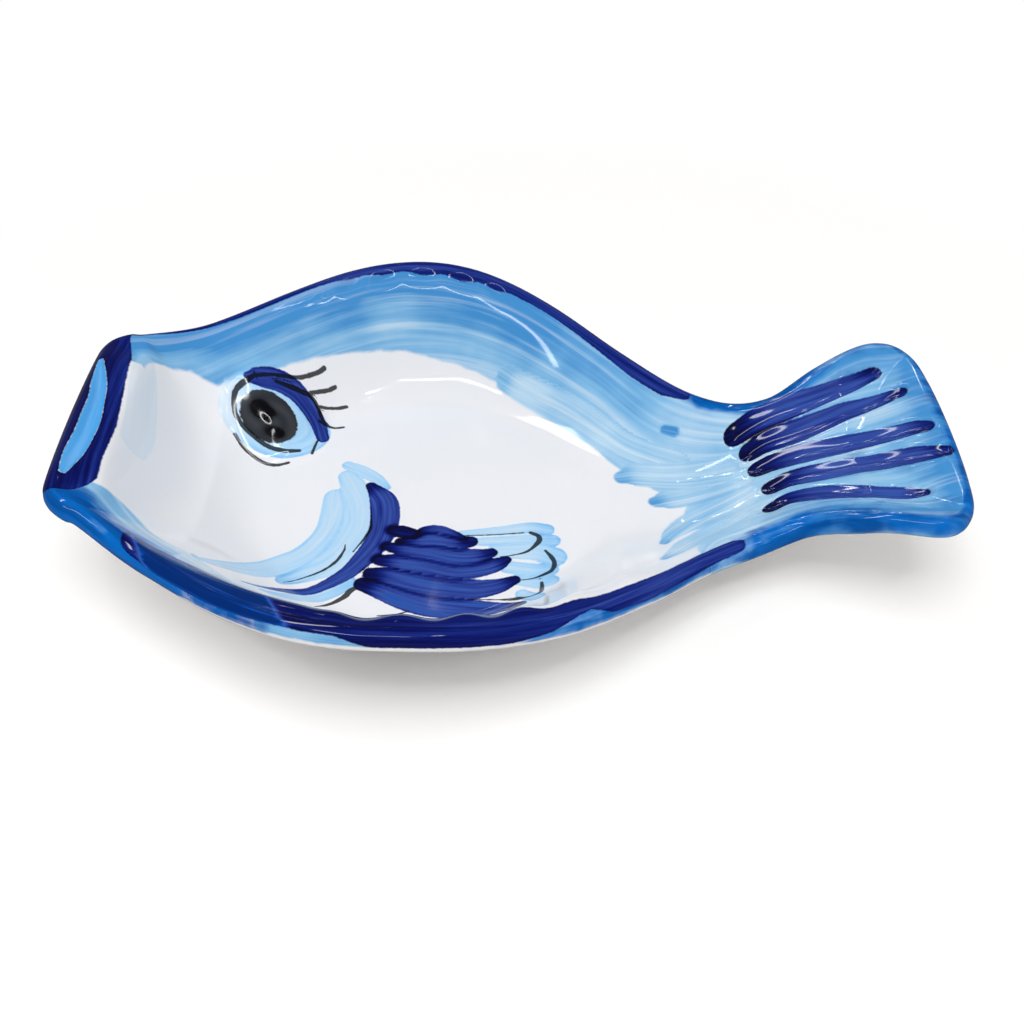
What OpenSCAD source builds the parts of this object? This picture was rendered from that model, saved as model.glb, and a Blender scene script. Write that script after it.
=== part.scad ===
// Fish-shaped serving platter, in millimetres.
// +X runs from the mouth to the tail, +Y to the back of the fish, +Z up.
// The origin lies under the middle of the platter, on the plane it stands on.

/* [Outline] */
// Length from the mouth to the end of the tail
platter_length = 300; // [290:1:320]
// Width across the widest place of the body
body_width = 202; // [190:1:214]
// Width across the corners of the mouth
mouth_width = 97; // [92:1:106]
// Width of the nape, just behind the corners of the mouth
nape_width = 102; // [97:1:112]
// Width of the neck, just in front of the tail
neck_width = 73; // [68:1:84]
// Width across the tail
tail_width = 101; // [94:1:110]
// Distance from the mouth to the nape
nape_from_mouth = 17; // [15:1:20]
// Length of the rounded corners of the mouth
mouth_corner = 7; // [5:1:9]
// Distance from the mouth to the widest place of the body
widest_from_mouth = 112; // [104:1:120]
// Distance from the end of the tail to the neck
neck_from_tail = 56; // [52:1:62]
// Distance from the end of the tail to its widest place
fan_from_tail = 16; // [14:1:18]

/* [Rim] */
// Thickness of the rolled rim
rim_thickness = 8; // [7:0.5:10]
// Height of the middle of the rim at the mouth
mouth_height = 47; // [42:1:50]
// Height of the middle of the rim at the nape
nape_height = 40; // [36:1:46]
// Height of the middle of the rim beside the widest place
body_height = 45; // [40:1:50]
// Height of the middle of the rim where it dips before the neck
dip_height = 21; // [19:1:26]
// Height of the middle of the rim at the tail
tail_height = 41; // [36:1:46]
// Distance from the end of the tail to the dip of the rim
dip_from_tail = 76; // [72:1:82]

/* [Clay] */
// Thickness of the floor and the walls
clay_thickness = 6; // [5:0.5:7]
// Width of the sloping wall round the well, seen from above
wall_run = 38; // [32:1:42]
// Width of the sloping edge round the tail, seen from above
tail_run = 24; // [18:1:30]
// Depth of the hollow of the tail below its rim
tail_depth = 9; // [6:1:12]
// How far before the dip of the rim the floor starts to climb to the tail
climb_before_dip = 20; // [14:1:26]

/* [Foot] */
// Length of the oval foot
foot_length = 112; // [100:1:116]
// Width of the oval foot
foot_width = 92; // [80:1:96]
// Thickness of the foot, seen from below
foot_thickness = 8; // [6:1:12]
// Height of the foot
foot_height = 3; // [2:0.5:5]
// Distance from the mouth to the middle of the foot
foot_from_mouth = 120; // [118:1:126]

/* [Mouth] */
// Width of the level ledge that carries the lip
mouth_ledge = 12; // [10:1:14]
// Height of the lip above the ledge
lip_height = 3; // [2:0.5:4]
// How far the lip runs down the wall behind the ledge
lip_overhang = 7; // [5:1:9]
// Height left in the hollow between the two ridges of the lip
lip_hollow = 0.8; // [0.5:0.1:1.5]

/* [Eye] */
// Diameter of the pellet
eye_diameter = 42; // [36:1:46]
// Height of the pellet above the wall
eye_height = 5; // [4:0.5:7]
// Distance from the mouth to the middle of the eye
eye_from_mouth = 61; // [57:1:66]
// Distance from the middle line to the middle of the eye
eye_from_middle = 39; // [34:1:44]

/* [Hidden] */
// Steps of the curve between two points of the outline
curve_steps = 3;
// Rows between the rim and the middle line, above and underneath
rows_above = 14;
rows_under = 8;
// Steps of the round edge of the rim
roll_steps = 6;

edge = rim_thickness / 2;
mouth_x = edge - platter_length / 2;
tail_x = platter_length / 2 - edge;
corner_x = mouth_x + mouth_corner;
nape_x = nape_from_mouth - platter_length / 2;
widest_x = widest_from_mouth - platter_length / 2;
neck_x = platter_length / 2 - neck_from_tail;
fan_x = platter_length / 2 - fan_from_tail;
dip_x = platter_length / 2 - dip_from_tail;
foot_x = foot_from_mouth - platter_length / 2;
eye_x = eye_from_mouth - platter_length / 2;
mouth_half = mouth_width / 2 - edge;
nape_half = nape_width / 2 - edge;
body_half = body_width / 2 - edge;
neck_half = neck_width / 2 - edge;
tail_half = tail_width / 2 - edge;
well_floor = foot_height + clay_thickness / 2;
tail_floor = tail_height - tail_depth;
// The rows end on this stretch of the middle line
spine_start = mouth_x + mouth_ledge + wall_run + 2 * clay_thickness;
spine_end = tail_x - 1.6 * tail_run;
// How gently the two sides meet on the middle line
middle_round = 8;
// Where the floor begins to climb to the tail
climb_x = dip_x - climb_before_dip;

// How slowly the outline swells behind the nape and narrows behind its widest place
swell_power = 1.15;
narrow_power = 1.25;

function mix(a, b, t) = a + (b - a) * t;
function limit(t) = max(0, min(1, t));
function ease(t) = 0.5 - 0.5 * cos(180 * limit(t));
function unit(v) = v / norm(v);
function total(list) = list * [for (v = list) 1];
function flatten(lists) = [for (l = lists, f = l) f];

// Half width of the outline along the middle of the rim
function half_width(x) =
    x < nape_x ? mix(mouth_half, nape_half, limit((x - corner_x) / (nape_x - corner_x)))
    : x < widest_x ? mix(nape_half, body_half,
        pow(sin(90 * (x - nape_x) / (widest_x - nape_x)), swell_power))
    : x < neck_x ? mix(body_half, neck_half,
        ease(pow((x - widest_x) / (neck_x - widest_x), narrow_power)))
    : mix(neck_half, tail_half, ease((x - neck_x) / (fan_x - neck_x)));

// Points of one side of the rim, from mouth to tail
side_x = concat(
    [corner_x],
    [for (t = [0 : 0.25 : 1]) mix(nape_x, widest_x, t)],
    [for (t = [0.2 : 0.2 : 1]) mix(widest_x, neck_x, t)],
    [for (t = [0.5, 1]) mix(neck_x, fan_x, t)]);
half_rim = concat(
    [[mouth_x, 0]],
    [[mix(mouth_x, corner_x, 0.09), 0.66 * mouth_half]],
    [[mix(mouth_x, corner_x, 0.3), 0.88 * mouth_half]],
    [for (x = side_x) [x, half_width(x)]],
    [[mix(tail_x, fan_x, 0.3), 0.88 * tail_half]],
    [[mix(tail_x, fan_x, 0.07), 0.55 * tail_half]],
    [[tail_x, 0]]
);
last = len(half_rim) - 1;
whole_rim = concat(half_rim, [for (i = [last - 1 : -1 : 1]) [half_rim[i].x, -half_rim[i].y]]);

// Smooth closed curve through the points
function between(a, b, c, d, t) =
    b + (c - a) * t / 2 + (2 * a - 5 * b + 4 * c - d) * t * t / 2
    + (3 * b - a - 3 * c + d) * t * t * t / 2;
function smooth(p) = let (n = len(p)) [
    for (i = [0 : n - 1], s = [0 : curve_steps - 1])
        between(p[(i + n - 1) % n], p[i], p[(i + 1) % n], p[(i + 2) % n], s / curve_steps)
];
rim = smooth(whole_rim);
around = len(rim);
turn = [0 : around - 1];

outward = [for (i = turn)
    let (along = rim[(i + 1) % around] - rim[(i + around - 1) % around])
        unit([-along.y, along.x])];

// Height of the middle of the rim
low_nape_x = mix(nape_x, widest_x, 0.23);
function rim_height(x) =
    x < low_nape_x ? mix(mouth_height, nape_height, ease((x - mouth_x) / (low_nape_x - mouth_x)))
    : x < widest_x ? mix(nape_height, body_height, ease((x - low_nape_x) / (widest_x - low_nape_x)))
    : x < dip_x ? mix(body_height, dip_height, ease((x - widest_x) / (dip_x - widest_x)))
    : mix(dip_height, tail_height, ease((x - dip_x) / (fan_x - dip_x)));

// Height of the middle of the floor, level in the well and climbing to the tail
function floor_height(x) = mix(well_floor, tail_floor, ease((x - climb_x) / (fan_x - climb_x)));

// Distance inside the side walls, behind the mouth's ledge and before the end of the tail
function side_slope(x) = half_width(x + 1) / 2 - half_width(x - 1) / 2;
function side_distance(x, y) = (half_width(x) - norm([y, middle_round])) / norm([1, side_slope(x)]);
function mouth_distance(x) = x - mouth_x - mouth_ledge;
function tail_distance(x) = tail_x - x;

// The three distances joined to one, which turns the corners of the well gently
function join(list) = pow(total([for (d = list) pow(max(0.01, d), -3)]), -1 / 3);
function inside_distance(x, y) = join([side_distance(x, y), mouth_distance(x), tail_distance(x)]);

// Width of the sloping wall, never more than the middle line allows
function run(x) = min(mix(wall_run, tail_run, ease((x - dip_x) / (fan_x - dip_x))),
    0.85 * side_distance(x, 0));

// Share of its full height that the wall still has after a share t of its run
function wall_share(t) = pow(1 - pow(limit(t), 1.4), 1.8);

// Height of the middle of the clay, from its distance to the rim
function clay_height(x, inside) =
    mix(floor_height(x), rim_height(x), wall_share(inside / run(x)));
function wall_height(x, y) = clay_height(x, inside_distance(x, y));
function clay_normal(x, y) =
    let (slope_x = wall_height(x + 0.5, y) - wall_height(x - 0.5, y))
    let (slope_y = wall_height(x, y + 0.5) - wall_height(x, y - 0.5))
        unit([-slope_x, -slope_y, 1]);

// One point of the clay, a share of the way in from the rim, with up = 1 on top or -1 underneath
spine = [for (p = rim) [max(spine_start, min(spine_end, p.x)), 0]];
rim_gap = [for (p = rim) inside_distance(p.x, p.y)];
function clay_point(i, share, up) =
    let (flat = mix(rim[i], spine[i], share))
    let (inside = max(0, inside_distance(flat.x, flat.y) - (1 - share) * rim_gap[i]))
    let (near_rim = exp(-pow(share * norm(spine[i] - rim[i]) / rim_thickness, 2)))
    let (half = mix(clay_thickness, rim_thickness, near_rim) / 2)
    let (normal = unit(mix(clay_normal(flat.x, flat.y), [0, 0, 1], near_rim)))
        [flat.x, flat.y, clay_height(flat.x, inside)] + up * half * normal;

// One point of the round edge of the rim, from 90 degrees on top to -90 underneath
function roll_point(i, angle) =
    [rim[i].x, rim[i].y, rim_height(rim[i].x)]
    + edge * [outward[i].x * cos(angle), outward[i].y * cos(angle), sin(angle)];

function row_share(r, rows) = 0.92 * pow(r / rows, 1.25);
function clay_row(r, rows, up) = [for (i = turn) clay_point(i, row_share(r, rows), up)];
function roll_row(angle) = [for (i = turn) roll_point(i, angle)];

// Two triangles for one four-cornered field of a net
function field(a, b, c, d) = [[a, c, b], [a, d, c]];

// Solid of closed rings, shut at both ends by a strip across the middle line
module ring_solid(rings) {
    count = len(rings);
    end = (count - 1) * around;
    middle = around / 2;
    sides = flatten([for (k = [0 : count - 2], i = turn)
        let (j = (i + 1) % around)
            field(k * around + i, k * around + j, (k + 1) * around + j, (k + 1) * around + i)]);
    first_cap = concat([[0, 1, around - 1]],
        flatten([for (i = [1 : middle - 2]) field(i, around - i, around - i - 1, i + 1)]),
        [[middle - 1, middle, middle + 1]]);
    last_cap = [for (f = first_cap) [end + f[2], end + f[1], end + f[0]]];
    polyhedron(flatten(rings), concat(sides, first_cap, last_cap));
}

// Solid of two equal sheets, one over the other, shut round the edge
module sheet_solid(upper, lower) {
    deep = len(upper);
    wide = len(upper[0]);
    under = deep * wide;
    top_faces = flatten([for (k = [0 : deep - 2], i = [0 : wide - 2])
        field(k * wide + i, k * wide + i + 1, (k + 1) * wide + i + 1, (k + 1) * wide + i)]);
    under_faces = [for (f = top_faces) [under + f[2], under + f[1], under + f[0]]];
    walk = concat(
        [for (i = [0 : wide - 2]) i],
        [for (k = [0 : deep - 2]) k * wide + wide - 1],
        [for (i = [wide - 1 : -1 : 1]) (deep - 1) * wide + i],
        [for (k = [deep - 1 : -1 : 1]) k * wide]);
    steps = len(walk);
    edge_faces = flatten([for (s = [0 : steps - 1])
        let (a = walk[s], b = walk[(s + 1) % steps])
            field(a, under + a, under + b, b)]);
    polyhedron(concat(flatten(upper), flatten(lower)), concat(top_faces, edge_faces, under_faces));
}

// The pressed dish with its rolled rim, neck and tail
module dish_shell() {
    top_rows = [for (r = [rows_above : -1 : 0]) clay_row(r, rows_above, 1)];
    roll_rows = [for (s = [1 : roll_steps - 1]) roll_row(90 - 180 * s / roll_steps)];
    under_rows = [for (r = [0 : rows_under]) clay_row(r, rows_under, -1)];
    color("white") ring_solid(concat(top_rows, roll_rows, under_rows));
}

function oval(length, width) = [for (a = [0 : 5 : 355]) [length / 2 * cos(a), width / 2 * sin(a)]];

// The low oval coil that the platter stands on
module foot_ring() {
    color("linen") translate([foot_x, 0, 0]) linear_extrude(foot_height) difference() {
        polygon(oval(foot_length, foot_width));
        polygon(oval(foot_length - 2 * foot_thickness, foot_width - 2 * foot_thickness));
    }
}

// The flat lip of the mouth, with a leaf-shaped hollow along it
lip_edge = 0.6;
lip_inner = mouth_ledge + lip_overhang;
lip_outer = -edge * 60 * PI / 180;
hollow_middle = 0.5 * mouth_ledge;
hollow_half = 0.5 * mouth_ledge;
lip_rows = [for (r = [rows_above : -1 : 0])
    if (row_share(r, rows_above) * (spine_start - mouth_x) < lip_inner) r];
lip_reach = len([for (i = [0 : around / 4]) if (rim[i].x < mix(mouth_x, corner_x, 0.9)) i]) - 1;

// Thickness of the lip at a distance across it, with u = 0 in its middle and 1 at its ends
function lip_rise(across, u) =
    let (sides = ease((across - lip_outer) / rim_thickness) * ease((lip_inner - across) / lip_overhang))
    let (ends = ease((1 - abs(u)) / 0.3))
    let (hollow = ease(1 - abs(across - hollow_middle) / hollow_half) * ease((0.85 - abs(u)) / 0.35))
        lip_edge + (lip_height - lip_edge) * sides * ends - (lip_height - lip_hollow) * hollow * ends;

module mouth_lip() {
    columns = [for (k = [-lip_reach : lip_reach]) (k + around) % around];
    inner = [for (r = lip_rows) let (share = row_share(r, rows_above))
        [for (i = columns) [clay_point(i, share, 1), share * (spine_start - mouth_x), i]]];
    outer = [for (angle = [60, 30])
        [for (i = columns) [roll_point(i, angle), -edge * (90 - angle) * PI / 180, i]]];
    net = concat(inner, outer);
    lower = [for (row = net) [for (p = row) p[0]]];
    upper = [for (row = net) [for (p = row)
        p[0] + [0, 0, lip_rise(p[1], rim[p[2]].y / mouth_half)]]];
    color("navy") sheet_solid(upper, lower);
}

// The round pellet of the eye, cut to the wall that it sits on
eye_radius = eye_diameter / 2;
eye_ball = (eye_radius * eye_radius + eye_height * eye_height) / (2 * eye_height);
eye_normal = clay_normal(eye_x, eye_from_middle);
eye_base = [eye_x, eye_from_middle, wall_height(eye_x, eye_from_middle)]
    + clay_thickness / 2 * eye_normal;
eye_lean = acos(eye_normal.z);
eye_turn = atan2(eye_normal.y, eye_normal.x);
eye_columns = [for (i = [1 : around / 2]) if (rim[i].x < eye_x + 1.4 * eye_diameter) i];

module eye_boss() {
    wall = [for (r = [rows_above : -1 : 0])
        [for (i = eye_columns) clay_point(i, row_share(r, rows_above), 1)]];
    below = [for (row = wall) [for (p = row) p - [0, 0, eye_ball]]];
    color("midnightblue") difference() {
        translate(eye_base) rotate([0, eye_lean, eye_turn]) intersection() {
            translate([0, 0, eye_height - eye_ball]) sphere(eye_ball, $fn = 96);
            translate([0, 0, -eye_height]) cylinder(3 * eye_height, r = eye_radius, $fn = 96);
        }
        sheet_solid(wall, below);
    }
}

dish_shell();
foot_ring();
mouth_lip();
eye_boss();
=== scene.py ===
"""Fish-shaped platter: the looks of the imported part, built in the same frame."""

import math

import bpy
import numpy as np
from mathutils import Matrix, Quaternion, Vector

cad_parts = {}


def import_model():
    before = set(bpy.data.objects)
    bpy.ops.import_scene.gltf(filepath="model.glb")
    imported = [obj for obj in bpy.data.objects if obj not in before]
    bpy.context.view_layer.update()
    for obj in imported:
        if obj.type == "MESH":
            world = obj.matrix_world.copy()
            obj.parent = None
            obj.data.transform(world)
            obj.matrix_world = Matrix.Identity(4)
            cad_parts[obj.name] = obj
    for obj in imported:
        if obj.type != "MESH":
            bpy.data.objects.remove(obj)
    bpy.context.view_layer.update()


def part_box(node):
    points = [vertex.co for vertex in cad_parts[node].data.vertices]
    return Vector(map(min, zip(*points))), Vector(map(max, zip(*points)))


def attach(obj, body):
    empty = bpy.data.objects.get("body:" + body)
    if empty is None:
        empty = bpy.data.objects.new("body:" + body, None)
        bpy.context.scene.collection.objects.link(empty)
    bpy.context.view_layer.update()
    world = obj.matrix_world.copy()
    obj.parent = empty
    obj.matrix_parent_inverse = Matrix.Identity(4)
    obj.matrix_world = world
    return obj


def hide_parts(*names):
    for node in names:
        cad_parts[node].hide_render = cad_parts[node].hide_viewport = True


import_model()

MM = 0.001

# Outline of the platter, in millimetres, as in the CAD source
LENGTH = 300.0
RIM = 8.0
EDGE = RIM / 2
CLAY = 6.0
MOUTH_X = EDGE - LENGTH / 2
TAIL_X = LENGTH / 2 - EDGE
CORNER_X = MOUTH_X + 7
NAPE_X = 17 - LENGTH / 2
WIDEST_X = 112 - LENGTH / 2
NECK_X = LENGTH / 2 - 56
FAN_X = LENGTH / 2 - 16
DIP_X = LENGTH / 2 - 76
CLIMB_X = DIP_X - 20
LOW_NAPE_X = NAPE_X + 0.23 * (WIDEST_X - NAPE_X)
MOUTH_HALF = 97 / 2 - EDGE
NAPE_HALF = 102 / 2 - EDGE
BODY_HALF = 202 / 2 - EDGE
NECK_HALF = 73 / 2 - EDGE
TAIL_HALF = 101 / 2 - EDGE
MIDDLE_ROUND = 8.0
SWELL_POWER = 1.15
NARROW_POWER = 1.25

# Heights of the middle of the rim and of the floor
MOUTH_Z = 47.0
NAPE_Z = 40.0
BODY_Z = 45.0
DIP_Z = 21.0
TAIL_Z = 41.0
FOOT_HEIGHT = 3.0
WELL_FLOOR = FOOT_HEIGHT + CLAY / 2
TAIL_FLOOR = TAIL_Z - 9
WALL_RUN = 38.0
TAIL_RUN = 24.0
LEDGE = 12.0
SPINE_START = MOUTH_X + LEDGE + WALL_RUN + 2 * CLAY
SPINE_END = TAIL_X - 1.6 * TAIL_RUN

# Lip of the mouth and pellet of the eye
LIP_HEIGHT = 2.5
LIP_INNER = 19.0
LIP_OUTER = -EDGE * math.radians(60)
EYE_X = -89.0
EYE_Y = 39.0
EYE_RADIUS = 21.0
EYE_HEIGHT = 5.0

# Painted iris, the slight bulge under it and the light blue round it
IRIS_X = -92.8
IRIS_Y = 37.3
IRIS_LONG = 9.8
IRIS_HIGH = 9.2
IRIS_RADIUS = 9.4
BULGE_X = -93.0
BULGE_Y = 38.0
BULGE_SPREAD = 8.5
BULGE_HEIGHT = 1.2
SURROUND_X = -89.5
SURROUND_Y = 38.0
SURROUND_LONG = 20.0
SURROUND_HIGH = 15.0

# Lips and eye reach this far into the clay, and count as underside there
BED_DEPTH = 1.5
UNDERSIDE = -EDGE * math.pi
UP = (0, 0, 1)

# The round edge is drawn this much slimmer, so that its finer curve stays inside the CAD's box
ROLL_INSET = 0.08

# Brushwork ends this far round the roll of the rim
PAINT_END = -9.5


def mix(a, b, t):
    return a + (b - a) * t


def ease(t):
    return 0.5 - 0.5 * np.cos(np.pi * np.clip(t, 0, 1))


def share_of(value, low, high):
    return np.clip((value - low) / (high - low), 0, 1)


def unit(v):
    return v / np.linalg.norm(v, axis=-1, keepdims=True)


# Form of the clay


def half_width(x):
    x = np.asarray(x, float)
    head = mix(MOUTH_HALF, NAPE_HALF, share_of(x, CORNER_X, NAPE_X))
    front = mix(NAPE_HALF, BODY_HALF, np.sin(np.pi / 2 * share_of(x, NAPE_X, WIDEST_X)) ** SWELL_POWER)
    back = mix(BODY_HALF, NECK_HALF, ease(share_of(x, WIDEST_X, NECK_X) ** NARROW_POWER))
    tail = mix(NECK_HALF, TAIL_HALF, ease(share_of(x, NECK_X, FAN_X)))
    return np.select([x < NAPE_X, x < WIDEST_X, x < NECK_X], [head, front, back], tail)


def rim_height(x):
    x = np.asarray(x, float)
    head = mix(MOUTH_Z, NAPE_Z, ease(share_of(x, MOUTH_X, LOW_NAPE_X)))
    front = mix(NAPE_Z, BODY_Z, ease(share_of(x, LOW_NAPE_X, WIDEST_X)))
    back = mix(BODY_Z, DIP_Z, ease(share_of(x, WIDEST_X, DIP_X)))
    tail = mix(DIP_Z, TAIL_Z, ease(share_of(x, DIP_X, FAN_X)))
    return np.select([x < LOW_NAPE_X, x < WIDEST_X, x < DIP_X], [head, front, back], tail)


def floor_height(x):
    return mix(WELL_FLOOR, TAIL_FLOOR, ease(share_of(x, CLIMB_X, FAN_X)))


def side_slope(x):
    return (half_width(x + 1) - half_width(x - 1)) / 2


def side_distance(x, y):
    return (half_width(x) - np.hypot(y, MIDDLE_ROUND)) / np.hypot(1, side_slope(x))


def join(distances):
    """The least of the distances, with a gentle turn where two are alike."""
    return sum(np.maximum(0.01, d) ** -3.0 for d in distances) ** (-1 / 3)


def inside_distance(x, y):
    """Distance inside the side walls, the mouth's ledge and the end of the tail."""
    return join([side_distance(x, y), x - MOUTH_X - LEDGE, TAIL_X - x])


def wall_height(x, y):
    wall_run = mix(WALL_RUN, TAIL_RUN, ease(share_of(x, DIP_X, FAN_X)))
    wall_run = np.minimum(wall_run, 0.85 * side_distance(x, 0 * x))
    left = 1 - (inside_distance(x, y) - 0.01) / wall_run
    left = np.minimum(1, (left + np.hypot(left, 0.07)) / 2)
    return mix(floor_height(x), rim_height(x), (1 - (1 - left) ** 1.4) ** 1.8)


def wall_normal(x, y):
    slope_x = wall_height(x + 0.5, y) - wall_height(x - 0.5, y)
    slope_y = wall_height(x, y + 0.5) - wall_height(x, y - 0.5)
    return unit(np.stack([-slope_x, -slope_y, np.ones_like(slope_x)], -1))


def clay_face(x, y, from_rim, up):
    """Point and normal of the top (up = 1) or the underside (up = -1), from_rim mm in from the rim."""
    near_rim = np.exp(-((from_rim / RIM) ** 2))[..., None]
    normal = unit(mix(wall_normal(x, y), np.array([0.0, 0.0, 1.0]), near_rim))
    half = mix(CLAY, RIM, near_rim) / 2
    middle = np.stack([x, y, wall_height(x, y)], -1)
    return middle + up * half * normal, up * normal


def rim_distance(x, y):
    """Distance from the rim along the line that leads to the spine of the net."""
    spine = np.clip(x, SPINE_START, SPINE_END)
    farthest = 40.0
    halvings = 40
    low = np.ones_like(x)
    high = np.full_like(x, farthest)
    for _ in range(halvings):
        middle = (low + high) / 2
        inside = np.abs(middle * y) < half_width(spine + middle * (x - spine))
        low = np.where(inside, middle, low)
        high = np.where(inside, high, middle)
    return (low - 1) * np.hypot(x - spine, y)


# Rim of the platter


def between(a, b, c, d, t):
    """Smooth curve from b to c, with a before and d after it."""
    straight = b + (c - a) * t / 2
    return straight + (2 * a - 5 * b + 4 * c - d) * t**2 / 2 + (3 * b - a - 3 * c + d) * t**3 / 2


def half_rim_points():
    """The points that the CAD's rim runs through on one side, from mouth to tail."""
    side_x = [CORNER_X]
    side_x += [mix(NAPE_X, WIDEST_X, t) for t in (0, 0.25, 0.5, 0.75, 1)]
    side_x += [mix(WIDEST_X, NECK_X, t) for t in (0.2, 0.4, 0.6, 0.8, 1)]
    side_x += [mix(NECK_X, FAN_X, t) for t in (0.5, 1)]
    mouth = [(MOUTH_X, 0)]
    mouth += [(mix(MOUTH_X, CORNER_X, s), h * MOUTH_HALF) for s, h in ((0.09, 0.66), (0.3, 0.88))]
    sides = [(x, float(half_width(x))) for x in side_x]
    tail = [(mix(TAIL_X, FAN_X, s), h * TAIL_HALF) for s, h in ((0.3, 0.88), (0.07, 0.55))]
    return np.array(mouth + sides + tail + [(TAIL_X, 0)], float)


def column_width(x):
    """Width of the columns of the net, in mm: finest where the brushwork is finest."""
    return np.interp(x, [-150, -70, -55, 20, 40, 90, 105, 150], [1.3, 1.1, 0.78, 0.78, 1.4, 1.4, 1.0, 1.0])


def rim_columns():
    """Points of the whole rim, evenly spaced by column_width, and their outward directions."""
    half = half_rim_points()
    other = half[-2:0:-1] * [1, -1]
    whole = np.vstack([half, other])
    count = len(whole)
    t = np.linspace(0, 1, 200, endpoint=False)[:, None]
    dense = np.vstack([
        between(whole[i - 1], whole[i], whole[(i + 1) % count], whole[(i + 2) % count], t)
        for i in range(len(half) - 1)
    ])
    dense = np.vstack([dense, half[-1:]])
    lengths = np.linalg.norm(np.diff(dense, axis=0), axis=1)
    weights = lengths / column_width(dense[:-1, 0])
    travel = np.concatenate([[0], np.cumsum(weights)])
    stops = np.linspace(0, travel[-1], int(round(travel[-1])) + 1)
    side = np.stack([np.interp(stops, travel, dense[:, k]) for k in (0, 1)], -1)
    side[[0, -1], 1] = 0
    rim = np.vstack([side, side[-2:0:-1] * [1, -1]])
    along = np.roll(rim, -1, axis=0) - np.roll(rim, 1, axis=0)
    outward = unit(np.stack([-along[:, 1], along[:, 0]], -1))
    return rim, outward


# Brushwork: each stroke is a list of points, x, y and width in mm

FIN_STROKES = [
    [(-50, -41, 6.5), (-43.5, -43.5, 9), (-35, -47.5, 11), (-27, -50.5, 11), (-18.5, -52, 10),
     (-9.5, -53, 8.5), (-2, -53, 6.5), (3, -52.5, 4)],
    [(-48, -36, 5.5), (-42, -37, 8), (-32, -40.5, 9.5), (-22.5, -42.5, 10), (-13, -43.5, 9),
     (-5, -42, 7), (1, -39, 4)],
    [(-45.5, -29.5, 5), (-37.5, -30.5, 8), (-29, -32, 9.5), (-19, -34.5, 9.5), (-10.5, -33.5, 8),
     (-5, -31.5, 6.5), (-2, -29.5, 4)],
    [(-43.5, -23, 4), (-37, -24, 7.5), (-28, -25.5, 8.5), (-18.5, -28, 8.5), (-11, -27.5, 7),
     (-7, -26, 4.5)],
    [(-39.5, -20, 2.5), (-32.5, -19.5, 6.5), (-25.5, -19.5, 7), (-18.5, -21, 7), (-14.5, -20.5, 5.5)],
    [(-34, -17, 3), (-30, -14.5, 4), (-25.5, -14.5, 4.5), (-21, -16.5, 4), (-17, -18.5, 2.5)],
    [(-42, -14.5, 4), (-38.5, -15.5, 6.5), (-35, -16, 4.5)],
]
GILL_STROKE = [
    (-51.5, 9, 4), (-46.5, 1, 10), (-45, -9.5, 10.5), (-46.5, -19.5, 9.5), (-50.5, -28, 8),
    (-56.5, -36.5, 6), (-66.5, -44, 4), (-76.5, -47, 2.8), (-86.5, -53.5, 1),
]
TAIL_STROKES = [
    [(82, 23.5, 8.5), (88.5, 25.5, 10), (98.5, 27, 10.5), (109, 28, 8.5), (120, 30.5, 7), (132, 35.5, 5)],
    [(86.5, 15.5, 8), (92, 17, 9), (102.5, 17, 10), (113, 18.5, 9), (124, 21, 7.5),
     (134, 22.5, 6), (138, 22.5, 5)],
    [(88.5, 6.5, 8), (94, 7, 9), (105, 6, 10), (116, 4.5, 9), (127, 4, 8), (137, 2.5, 7), (141.5, 1, 5.5)],
    [(91, -5, 7), (97, -4, 8), (107.5, -6, 9), (119.5, -8, 8.5), (131.5, -9.5, 8.5),
     (140.5, -12.5, 6.5), (144.5, -13.5, 5)],
    [(89, -16.5, 6), (95, -14.5, 7.5), (103, -17, 9), (111, -21, 9), (119, -25, 8.5),
     (128, -27.5, 7.5), (135, -29, 3)],
]
LID_STROKE = [
    (-100, 48.5, 3.5), (-96, 50, 6.5), (-90, 51.5, 8), (-84, 51, 9), (-79.5, 48, 8.5),
    (-75.5, 43, 7.5), (-72.5, 36, 5.5),
]
LEAF_STROKE = [
    (-144.6, 26, 2.4), (-142.2, 14, 5.2), (-140.8, 5, 5.4), (-140.2, -6, 6.7), (-140.2, -14, 6.6),
    (-141.1, -24, 6.4), (-142.3, -32, 3),
]
GILL_WASHES = [
    [(-63.5, 2.5, 9), (-63.5, -5.5, 9.5), (-64.5, -14, 9), (-67.5, -21.5, 9), (-72.5, -28, 9.5),
     (-80, -33, 10), (-88, -39, 9), (-94, -43, 7), (-100, -47.5, 4), (-103, -46, 1)],
    [(-60.5, 14, 7), (-57, 6.5, 10.5), (-54, -2, 12.5), (-53.5, -12, 13), (-57, -23, 12.5),
     (-62.5, -31.5, 11), (-69, -36, 8), (-77, -40, 5)],
    [(-61, 20.5, 4.5), (-55, 17, 5.5), (-49.5, 12.5, 5), (-45.5, 8, 3)],
    [(-80, -54, 3), (-71.5, -49.5, 5), (-62.5, -46, 6), (-55, -40.5, 6)],
]
FEATHER_WASHES = [
    [(3.5, -46, 5), (8, -50, 6)],
    [(2, -39, 5), (10, -40, 7.5), (12.5, -40, 7)],
    [(-1.5, -33, 6), (8, -34.5, 6.5), (13, -34, 6)],
    [(-12, -20.5, 4), (5.5, -20, 6), (14, -20, 6)],
    [(-6, -25.5, 6), (8, -25.5, 8.5), (14.5, -28, 9)],
    [(-18, -16.5, 3), (-4, -15, 4.5), (6, -13.5, 5.5), (12, -14.5, 6)],
]
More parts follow.
